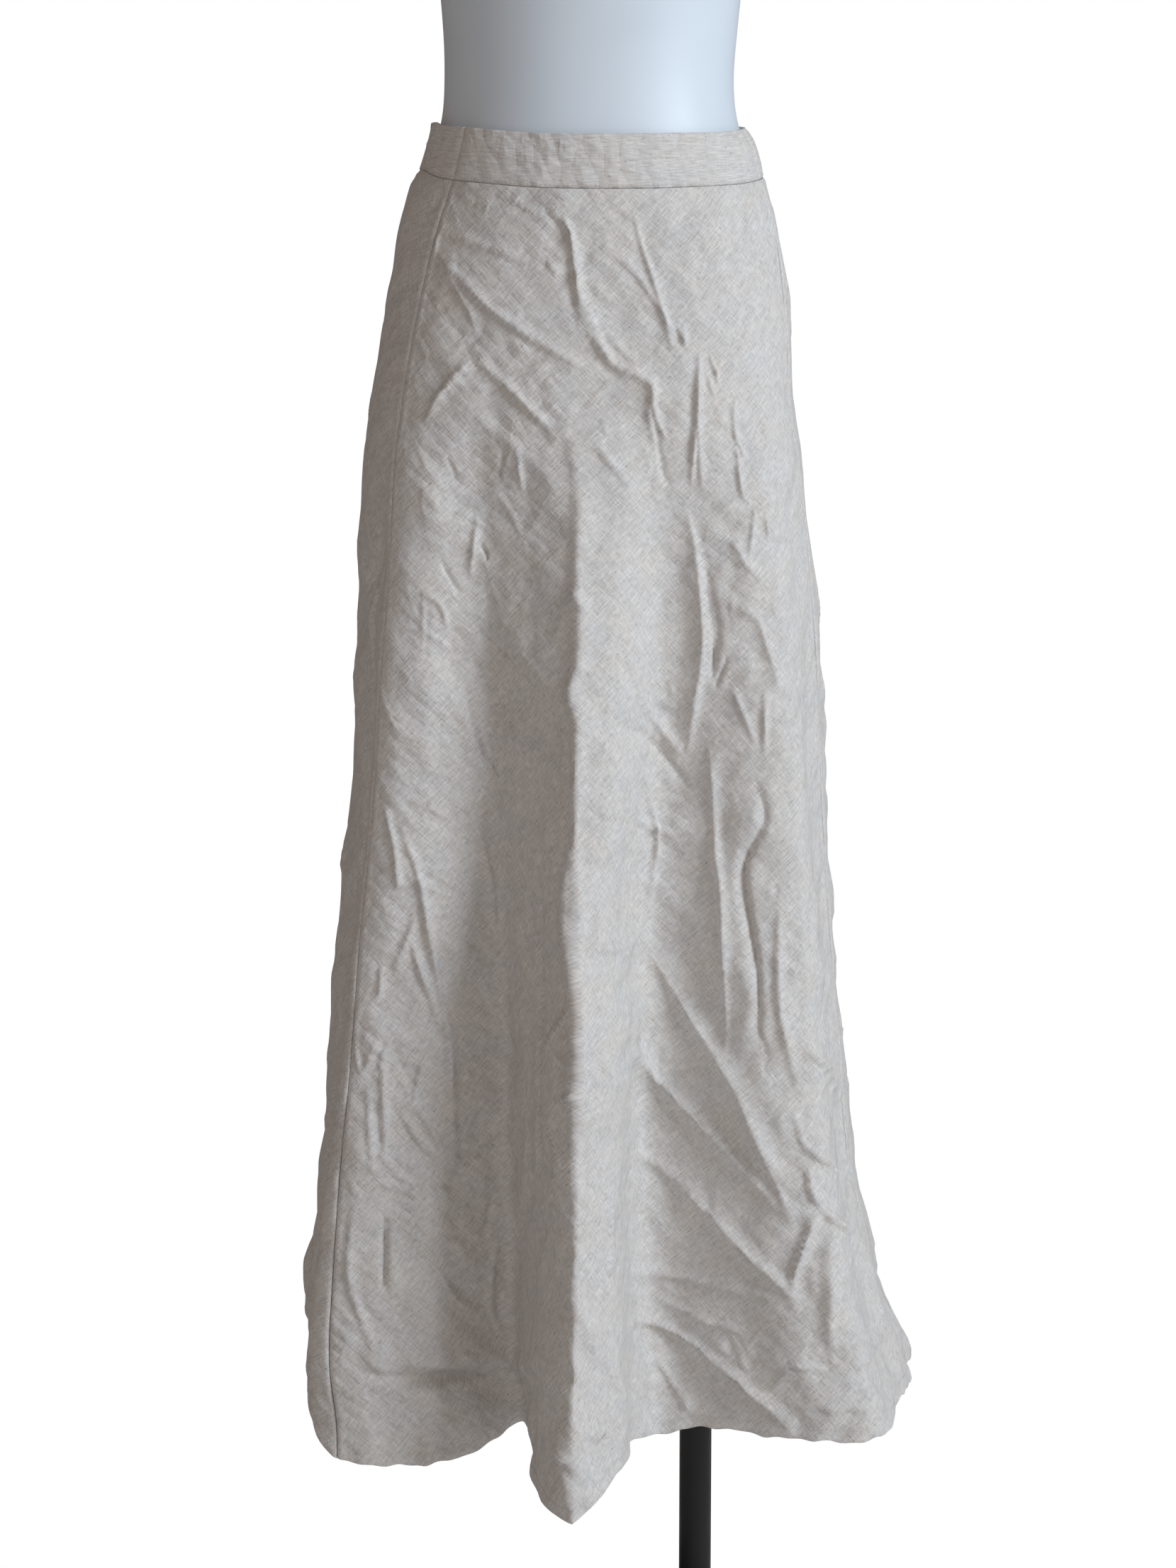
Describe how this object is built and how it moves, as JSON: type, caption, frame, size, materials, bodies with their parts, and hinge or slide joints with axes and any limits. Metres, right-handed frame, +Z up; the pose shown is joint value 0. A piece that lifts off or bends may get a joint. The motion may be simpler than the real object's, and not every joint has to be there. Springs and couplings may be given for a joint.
{
  "type": "a-line skirt on dress form",
  "caption": "Long flared a-line skirt of creased linen cloth with a plain waistband, standing on a smooth limbless dress form with a pole and a round base.",
  "frame": {"origin": "on the floor, under the middle of the dress form, at the centre of the underside of the base plate", "axes": "+Z up, the skirt's front faces -Y, +X is to the right when it is seen from the front"},
  "size_m": [0.4736, 0.4739, 1.7363],
  "materials": {
    "linen_cloth": "oatmeal linen, matte, creased",
    "form_shell": "smooth white shell, satin",
    "black_steel": "black powder coat"
  },
  "bodies": {
    "root": {"skirt_front": "linen_cloth", "skirt_back": "linen_cloth", "waistband_front": "linen_cloth", "waistband_back": "linen_cloth", "form_torso": "form_shell", "neck_cap": "form_shell", "form_socket": "black_steel", "pole": "black_steel", "base_collar": "black_steel", "base_plate": "black_steel"}
  },
  "joints": []
}
